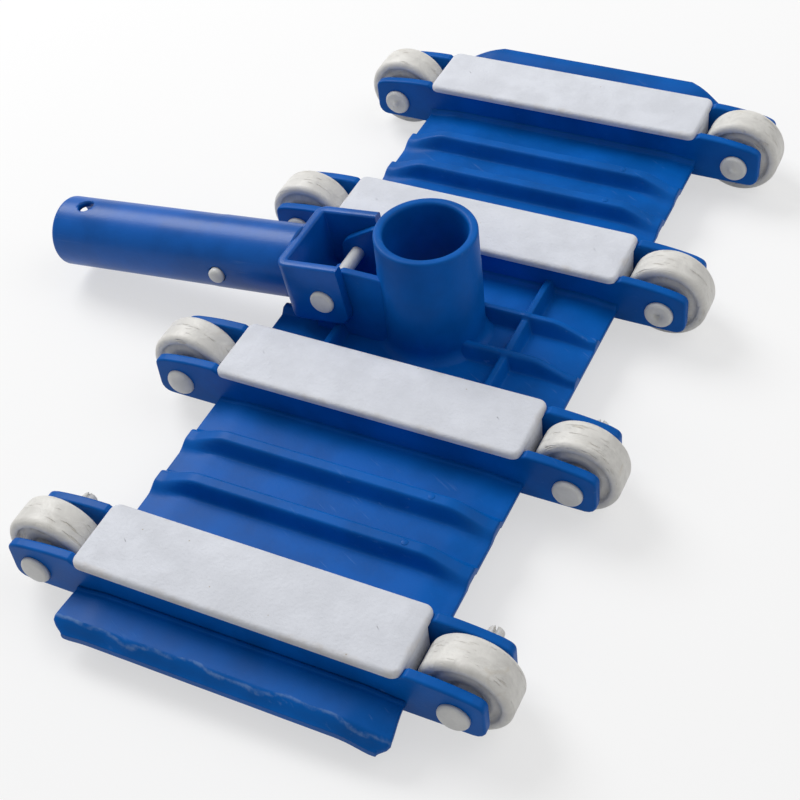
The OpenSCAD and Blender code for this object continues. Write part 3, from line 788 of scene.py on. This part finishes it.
class VACUUM_OT_weight_covers(bpy.types.Operator):
    """Makes the four white covers: a crowned slab with rounded edges over a plug between the bar walls"""
    bl_idname = "vacuum.weight_covers"
    bl_label = "Weight Covers"

    def execute(self, context):
        s = sizes()
        for number, bar in enumerate(BARS, 1):
            shells = [self.slab(s, bar), self.plug(s, bar)]
            cover = piece(f"weight_top_{number}", shells, finishes()["cover_white"])
            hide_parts(f"weight_cover_{number}")
            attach(cover, ("near_section", "center_section", "center_section", "far_section")[number - 1])
        return {"FINISHED"}

    def slab(self, s, bar):
        """Rounded rectangles one above the other: inset and height follow a small arc at the foot, a larger
        arc at the top edge, and a shallow crown to the middle."""
        half_x, half_y = 59.4, 14.1
        low, high = 25.6, 28.5
        edge = s.cover_edge
        foot = np.radians(np.linspace(0, 90, 4))
        top = np.radians(np.linspace(0, 90, 7))
        inward = np.linspace(0, 1, 9)[1:]
        insets = np.concatenate([0.4 * (1 - np.sin(foot)), edge * (1 - np.cos(top)),
                                 edge + (half_y - 0.6 - edge) * inward])
        heights = np.concatenate([low + 0.4 * (1 - np.cos(foot)), high - edge * 0.9 * (1 - np.sin(top)),
                                  high + s.cover_crown * (1 - (1 - inward) ** 2)])
        marks = np.concatenate([np.full(4, 1.0), 1 - 0.25 * np.linspace(0, 1, 7), 0.55 * (1 - inward) ** 3])
        loops = []
        for depth, height in zip(insets, heights):
            corner = max(s.cover_corner - depth, 0.4)
            flat = box_outline(half_x - depth, half_y - depth, min(corner, half_y - depth - 0.05), 7)
            loops.append(np.column_stack([flat[:, 0], flat[:, 1] + bar, np.full(len(flat), height)]))
        loops = np.array(loops)
        return lofted(loops, np.broadcast_to(marks[:, None], loops.shape[:2]))

    def plug(self, s, bar):
        """The narrow body of the cover, which fills the bar between its walls."""
        outline = box_outline(59.2, 8.7, 1.6, 4) + (0, bar)
        return plate(outline, s.sheet_top + 0.5, 26.2, 0.6, "XY", 3, 0.4)


class VACUUM_OT_wheels(bpy.types.Operator):
    """Makes the eight wheels: rounded tread with a parting line, stepped sides, grooves and a hub"""
    bl_idname = "vacuum.wheels"
    bl_label = "Wheels"

    def execute(self, context):
        s = sizes()
        for number in range(1, 5):
            for side in ("left", "right"):
                low, high = millimetres(f"wheel_{number}_{side}")
                profile, marks = self.profile(s, (high[2] - low[2]) / 2, (high[1] - low[1]) / 2)
                wheel = turned(profile, (low + high) / 2, "Y", 112, True, marks)
                made = piece(f"roller_{number}_{side}", [wheel], finishes()["wheel_cream"])
                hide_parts(f"wheel_{number}_{side}")
                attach(made, f"wheel_body_{number}_{side}")
        return {"FINISHED"}

    def profile(self, s, radius, half):
        """Half section of a wheel from its bore outwards, mirrored; each point carries a dirt mark."""
        bore, edge = s.pin_radius + 0.05, s.wheel_edge
        side = np.concatenate([
            [(bore, half - 0.9, 0.8)], [(bore + 1.5, half - 0.9, 0.6)], [(bore + 1.9, half - 1.9, 0.8)],
            [(radius * 0.40, half - 1.95, 0.8)], [(radius * 0.44, half - 1.2, 0.4)],
            [(radius * 0.48, half - 0.9, 0.1)], [(radius * 0.58, half - 0.85, 0.1)],
            [(radius * 0.62, half - 1.05, 0.2)], [(radius * 0.655, half - 1.5, 0.5)],
            [(radius * 0.70, half - 1.7, 0.6)], [(radius * 0.745, half - 1.5, 0.5)],
            [(radius * 0.77, half - 0.9, 0.2)], [(radius * 0.785, half - 0.35, 0.1)],
            [(radius * 0.81, half - 0.06, 0.0)]])
        tread = fillet((radius - edge, half - edge), edge, 88, 0, 7)
        tread = np.column_stack([tread, np.linspace(0.15, 0.0, len(tread))])
        line = [(radius - 0.02, 0.35, 0.0), (radius + 0.03, 0.12, 0.25)]
        right = np.concatenate([side, tread, line])
        left = right[::-1] * (1, -1, 1)
        both = np.concatenate([right, left])
        return both[:, :2], both[:, 2]


HEADS = {
    "1_left": "disc", "1_right": "disc", "2_left": "dome", "2_right": "disc",
    "3_left": "disc", "3_right": "slot", "4_left": "nub", "4_right": "nub",
}


def head_profile(radius, depth, kind):
    """Half section of a pin head that points towards -Y from 0: a bevelled disc, a dome, a disc with a hole
    in its middle, or a disc with a nub."""
    if kind == "dome":
        arc = fillet((0, 0), 1, 4, 90, 9)
        return [(AXIS, 0.0), (radius, 0.0)] + [(radius * x + 0.02, -depth * 1.5 * z) for x, z in arc]
    rim = [(AXIS, 0.0), (radius, 0.0), (radius, -depth * 0.45), (radius * 0.95, -depth * 0.72)]
    face = [(radius * 0.86, -depth * 0.95), (radius * 0.78, -depth)]
    middle = {
        "disc": [(radius * 0.3, -depth * 1.02), (AXIS, -depth * 1.02)],
        "slot": [(radius * 0.24, -depth), (radius * 0.17, -depth * 0.2), (AXIS, -depth * 0.1)],
        "nub": [(radius * 0.26, -depth), (radius * 0.22, -depth * 1.45), (AXIS, -depth * 1.5)]}
    return rim + face + middle[kind]


def pin_shells(place, radius, head, depth, front, back, tip, kind):
    """A headed pin along Y: turned head and shank, and a barbed tip split into two half-round fingers."""
    x, z = place
    shells = [turned(head_profile(head, depth, kind), (x, front, z), "Y", 48)]
    neck = back + 1.3
    shank = [(AXIS, front - 0.5), (radius, front - 0.5), (radius, neck), (AXIS, neck)]
    shells.append(turned(shank, (x, 0, z), "Y", 40))
    angle = np.linspace(-np.pi / 2, np.pi / 2, 17)
    outer = np.array([(radius, back - 0.6), (radius, back + 0.3), (radius + 0.5, back + 0.35),
                      (radius + 0.3, back + tip * 0.45), (radius - 0.3, back + tip - 0.4),
                      (radius - 0.7, back + tip)])
    for sign in (-1, 1):
        across = np.maximum(outer[:, :1] * np.cos(angle), radius / 5)
        loop = np.stack([x + sign * across, np.broadcast_to(outer[:, 1:], across.shape),
                         z + outer[:, :1] * np.sin(angle)], axis=-1)
        shells.append(lofted(loop, 0.4))
    return shells


class VACUUM_OT_axle_pins(bpy.types.Operator):
    """Makes the eight axle pins and the pivot pin, whose heads differ a little from one to the next"""
    bl_idname = "vacuum.axle_pins"
    bl_label = "Axle Pins"

    def execute(self, context):
        s = sizes()
        for key, kind in HEADS.items():
            number = int(key[0])
            bar = BARS[number - 1]
            low, high = millimetres(f"wheel_{key}")
            centre = (low + high) / 2
            front, back = bar - BAR_HALF_WIDTH - RUN_FIT, bar + BAR_HALF_WIDTH
            shells = pin_shells(
                centre[[0, 2]], s.pin_radius, s.head_radius, 2.0, front, back, 7.5, kind)
            pin = piece(f"wheel_pin_{key}", shells, finishes()["pin_white"])
            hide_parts(f"axle_{key}")
            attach(pin, ("near_section", "center_section", "center_section", "far_section")[number - 1])
        px, pz = np.array(PIVOT["pos_m"])[[0, 2]] / MM
        front = -s.yoke_half - RUN_FIT
        shells = pin_shells((px, pz), 2.7, 4.8, 1.6, front, s.yoke_half, 5.0, "disc")
        pin = piece("handle_pin", shells, finishes()["pin_white"])
        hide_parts("pivot_pin")
        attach(pin, "center_section")
        return {"FINISHED"}


# ---------------------------------------------------------------- handle


def handle_matrix():
    """Moves shapes drawn round the pivot, with the tube along -X, to the resting handle."""
    droop = math.radians(7.2)
    matrix = np.eye(4)
    matrix[:3, 0] = (math.cos(droop), 0, math.sin(droop))
    matrix[:3, 2] = (-math.sin(droop), 0, math.cos(droop))
    matrix[:3, 3] = np.array(PIVOT["pos_m"]) / MM
    return matrix


class VACUUM_OT_handle(bpy.types.Operator):
    """Makes the handle: a tube with its holes, and the open yoke round the pivot"""
    bl_idname = "vacuum.handle"
    bl_label = "Handle"

    def execute(self, context):
        s = sizes()
        self.free_end = -17 - s.tube_length
        blue = finishes()["handle_blue"]
        tube = piece("handle_tube", [self.tube(s).moved(handle_matrix())], blue)
        button = [(AXIS, -16), (3.6, -16), (3.6, 16), (AXIS, 16)]
        lock = [(AXIS, 0), (3.5, 0), (3.5, 16), (AXIS, 16)]
        cut(tube, [turned(button, (BUTTON_PLACE, 0, TUBE_AXIS), "Y", 32).moved(handle_matrix())])
        cut(tube, [turned(lock, (self.free_end + 12.5, 0, TUBE_AXIS), "Z", 32).moved(handle_matrix())])
        yoke = piece("handle_yoke", [self.yoke(s).moved(handle_matrix())], blue)
        for part in (tube, yoke):
            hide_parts("handle")
            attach(part, "pole_handle")
        return {"FINISHED"}

    def tube(self, s):
        """A profile turned round the tube's axis: bore, rounded free end, outside with a low step, foot."""
        r, bore, free = s.tube_radius, s.tube_bore, self.free_end
        inner = [(AXIS, -18.6), (bore - 0.6, -18.6)]
        inner += [(bore, x) for x in np.arange(-19.2, free + 1.4, -1.5)] + [(bore, free + 1.4)]
        rim = [(z, x) for x, z in fillet((free + 0.7, bore + 0.7), 0.7, 270, 180, 4)]
        lip = [(z, x) for x, z in fillet((free + 1.2, r - 1.2), 1.2, 180, 90, 5)]
        wall = [(r, x) for x in np.arange(free + 2, -57, 1.5)] + [(r, -56.6), (r + 0.15, -54.3)]
        foot = [(r + 0.15, x) for x in np.arange(-53.5, -17, 1.5)] + [(r + 0.15, -16.2), (AXIS, -16.2)]
        return turned(inner + rim + lip + wall + foot, (0, 0, TUBE_AXIS), "X", 128)

    def yoke(self, s):
        """A rounded wall carried along a U-shaped path: forward side, round the back, and out again.
        Its lower edge rises round each front corner."""
        half, wall = s.yoke_half - s.yoke_wall / 2, s.yoke_wall
        back, front, bend = -17 + 1.8, 9.2, 2.6
        run = np.concatenate([front - 5.0 * (1 - np.sin(np.radians(np.linspace(90, 0, 9)))), [0.0, -6.0]])
        straight = np.column_stack([run, np.full(len(run), -half)])
        corner = fillet((back + bend, -half + bend), bend, 270, 180, 6)
        across = np.column_stack([np.full(3, back), np.linspace(-half + bend + 1, half - bend - 1, 3)])
        first = np.concatenate([straight, corner])
        path = np.concatenate([first, across, first[::-1] * (1, -1)])
        step = np.gradient(path, axis=0)
        step /= np.linalg.norm(step, axis=1, keepdims=True)
        normal = np.column_stack([-step[:, 1], step[:, 0]])
        low = -10.72 + 5.0 - np.sqrt(np.clip(25 - np.clip(path[:, 0] - (front - 5.0), 0, 5) ** 2, 0, None))
        high, edge = 15.2, 1.1
        turn = np.radians([0, 22, 45, 68, 90])
        corners = [(1, 1, turn), (-1, 1, turn[::-1]), (-1, -1, turn), (1, -1, turn[::-1])]
        aside = np.concatenate([sx * (wall / 2 - edge + edge * np.cos(a)) for sx, sz, a in corners])
        lift = np.concatenate([sz * edge * (np.sin(a) - 1) for sx, sz, a in corners])
        upper = np.concatenate([np.full(5, sz > 0) for sx, sz, a in corners])
        z = np.where(upper[None], high, low[:, None]) + lift[None]
        xy = path[:, None] + normal[:, None] * aside[None, :, None]
        return lofted(np.concatenate([xy, z[..., None]], axis=-1))


class VACUUM_OT_lock_buttons(bpy.types.Operator):
    """Makes the two domed lock buttons in the sides of the handle tube"""
    bl_idname = "vacuum.lock_buttons"
    bl_label = "Lock Buttons"

    def execute(self, context):
        s = sizes()
        tip = s.tube_radius + 2.6
        foot = s.tube_bore - 0.6
        dome = fillet((0, 0), 1, 0, 86, 8)
        profile = [(AXIS, foot), (s.button_radius, foot)]
        profile += [(s.button_radius * x + 0.02, tip - 1.7 + 1.7 * z) for x, z in dome]
        profile = np.array(profile + [(AXIS, tip)])
        for name, sign in (("near", -1), ("far", 1)):
            shell = turned(profile * (1, sign), (BUTTON_PLACE, 0, TUBE_AXIS), "Y", 40).moved(handle_matrix())
            button = piece(f"lock_button_{name}", [shell], finishes()["button_white"])
            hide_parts(f"clip_button_{name}")
            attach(button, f"lock_button_{name}")
        return {"FINISHED"}


# ---------------------------------------------------------------- operators


class VACUUM_OT_carried_parts(bpy.types.Operator):
    """Gives the CAD parts their materials: screws, ballast and the spring clip inside the tube"""
    bl_idname = "vacuum.carried_parts"
    bl_label = "Carried Parts"

    def execute(self, context):
        made = finishes()
        kinds = {
            "body": "body_blue", "weight": "cover_white", "ballast": "ballast_iron", "cover": "screw_steel",
            "wheel": "wheel_cream", "axle": "pin_white", "handle": "handle_blue", "pivot": "pin_white",
            "clip_bow": "clip_steel", "clip_arm": "clip_steel", "clip_button": "button_white"}
        for name, node in frame["nodes"].items():
            kind = max((k for k in kinds if name.startswith(k)), key=len, default=None)
            if kind is None:
                raise RuntimeError(f"no finish is known for {name}")
            node.data.materials.clear()
            node.data.materials.append(made[kinds[kind]])
        return {"FINISHED"}


class VACUUM_OT_stage(bpy.types.Operator):
    """Sets the pale floor, the soft lamps, the bright background and the camera"""
    bl_idname = "vacuum.stage"
    bl_label = "Stage"

    def execute(self, context):
        stage = context.scene.head_stage
        self.floor(context)
        self.world(context, stage)
        self.lamp(context, "key_lamp", stage.key_power, 0.9, (-1.15, 0.55, 1.25))
        self.lamp(context, "fill_lamp", stage.fill_power, 1.2, (0.9, 0.5, 1.3))
        self.camera(context, stage)
        return {"FINISHED"}

    def floor(self, context):
        mesh = bpy.data.meshes.new("floor")
        half = 3.0
        corners = [(-half, -half, 0), (half, -half, 0), (half, half, 0), (-half, half, 0)]
        mesh.from_pydata(corners, [], [(0, 1, 2, 3)])
        paint = Paint(bpy.data.materials.new("floor_white"))
        white = context.scene.head_finishes.floor_white
        plain = paint.node("ShaderNodeBsdfDiffuse", None, {"Color": (*tone(white, 0.72), 1)})
        lit = paint.node("ShaderNodeBsdfDiffuse", None, {"Color": (1, 1, 1, 1)})
        glow = paint.node("ShaderNodeEmission", None, {"Color": (*white, 1), "Strength": 1.0})
        bright = paint.node("ShaderNodeMixShader", None, {0: 0.6, 1: lit.outputs[0], 2: glow.outputs[0]})
        share = paint.seen("Glossy", "Transmission")
        surface = paint.node(
            "ShaderNodeMixShader", None, {0: share, 1: plain.outputs[0], 2: bright.outputs[0]})
        paint.node("ShaderNodeOutputMaterial", None, {"Surface": surface.outputs[0]})
        mesh.materials.append(paint.material)
        floor = bpy.data.objects.new("floor", mesh)
        context.scene.collection.objects.link(floor)

    def world(self, context, stage):
        context.scene.world = bpy.data.worlds.new("studio")
        sky = Paint(context.scene.world)
        dim, bright = (
            sky.node("ShaderNodeBackground", None, {"Color": (1, 1, 1, 1), "Strength": strength})
            for strength in (stage.sky_strength, 1.0))
        share = sky.seen("Transmission")
        both = sky.node("ShaderNodeMixShader", None, {0: share, 1: dim.outputs[0], 2: bright.outputs[0]})
        sky.node("ShaderNodeOutputWorld", None, {"Surface": both.outputs[0]})

    def lamp(self, context, name, power, size, place):
        light = bpy.data.lights.new(name, "AREA")
        light.energy = power
        light.size = size
        lamp = bpy.data.objects.new(name, light)
        context.scene.collection.objects.link(lamp)
        direction = np.array(place) / np.linalg.norm(place)
        lamp.matrix_world = facing(np.array(place), -direction, 0.0)

    def camera(self, context, stage):
        lens = bpy.data.cameras.new("camera")
        lens.lens = stage.lens
        lens.sensor_width = 36.0
        camera = bpy.data.objects.new("camera", lens)
        context.scene.collection.objects.link(camera)
        down, turn = stage.camera_pitch, stage.camera_heading
        level = math.cos(down)
        forward = np.array([-math.sin(turn) * level, math.cos(turn) * level, -math.sin(down)])
        camera.matrix_world = facing(np.array(stage.camera_place), forward, stage.camera_roll)
        context.scene.camera = camera


def facing(place, forward, roll):
    """Matrix of a camera or lamp at a place, looking forward, with its top leaned to its right by roll."""
    right = np.cross(forward, (0, 0, 1))
    right /= np.linalg.norm(right)
    up = np.cross(right, forward)
    top = up * math.cos(roll) + right * math.sin(roll)
    matrix = np.eye(4)
    matrix[:3, 0] = np.cross(forward, top)
    matrix[:3, 1] = top
    matrix[:3, 2] = -forward
    matrix[:3, 3] = place
    return Matrix(matrix.tolist())


class StageSettings(bpy.types.PropertyGroup):
    """Camera and lamps"""
    camera_place: FloatVectorProperty(
        name="Camera place", description="Where the camera stands", default=(0.2030, -0.3735, 0.4069),
        unit="LENGTH", subtype="TRANSLATION", size=3)
    camera_heading: FloatProperty(
        name="Camera heading", description="Turn of the view to the left of +Y", default=math.radians(30.79),
        subtype="ANGLE", unit="ROTATION")
    camera_pitch: FloatProperty(
        name="Camera pitch", description="How far the camera looks down", default=math.radians(45.23),
        subtype="ANGLE", unit="ROTATION")
    camera_roll: FloatProperty(
        name="Camera roll", description="Lean of the camera to its right", default=math.radians(7.52),
        subtype="ANGLE", unit="ROTATION")
    lens: FloatProperty(name="Lens", description="Focal length in millimetres", default=68.8, unit="CAMERA")
    sky_strength: FloatProperty(name="Sky", description="Strength of the light from all round", default=0.36)
    key_power: FloatProperty(
        name="Key lamp", description="Power of the main lamp", default=20.0, unit="POWER")
    fill_power: FloatProperty(
        name="Fill lamp", description="Power of the second lamp", default=5.0, unit="POWER")


OPERATORS = [
    VACUUM_OT_carried_parts,
    VACUUM_OT_centre_section,
    VACUUM_OT_end_sections,
    VACUUM_OT_weight_covers,
    VACUUM_OT_wheels,
    VACUUM_OT_axle_pins,
    VACUUM_OT_handle,
    VACUUM_OT_lock_buttons,
    VACUUM_OT_stage,
]
GROUPS = {
    "head_body": BodySizes, "head_parts": PartSizes,
    "head_finishes": Finishes, "head_stage": StageSettings}


class VACUUM_PT_panel(bpy.types.Panel):
    """Lists the operators and the sizes and colours that they use"""
    bl_idname = "VACUUM_PT_panel"
    bl_label = "Vacuum Head"
    bl_space_type = "VIEW_3D"
    bl_region_type = "UI"
    bl_category = "Vacuum Head"

    def draw(self, context):
        for operator in OPERATORS:
            self.layout.operator(operator.bl_idname)
        for name, group in GROUPS.items():
            box = self.layout.box()
            box.label(text=group.__doc__)
            for prop in group.__annotations__:
                box.prop(getattr(context.scene, name), prop)


def register():
    for cls in (*GROUPS.values(), *OPERATORS, VACUUM_PT_panel):
        bpy.utils.register_class(cls)
    for name, group in GROUPS.items():
        setattr(bpy.types.Scene, name, PointerProperty(type=group))


def unregister():
    for name in GROUPS:
        delattr(bpy.types.Scene, name)
    for cls in (VACUUM_PT_panel, *reversed(OPERATORS), *reversed(GROUPS.values())):
        bpy.utils.unregister_class(cls)


def main():
    register()
    bpy.context.scene.view_settings.view_transform = "Standard"
    for operator in OPERATORS:
        group, name = operator.bl_idname.split(".")
        getattr(getattr(bpy.ops, group), name)()


if __name__ == "__main__":
    main()
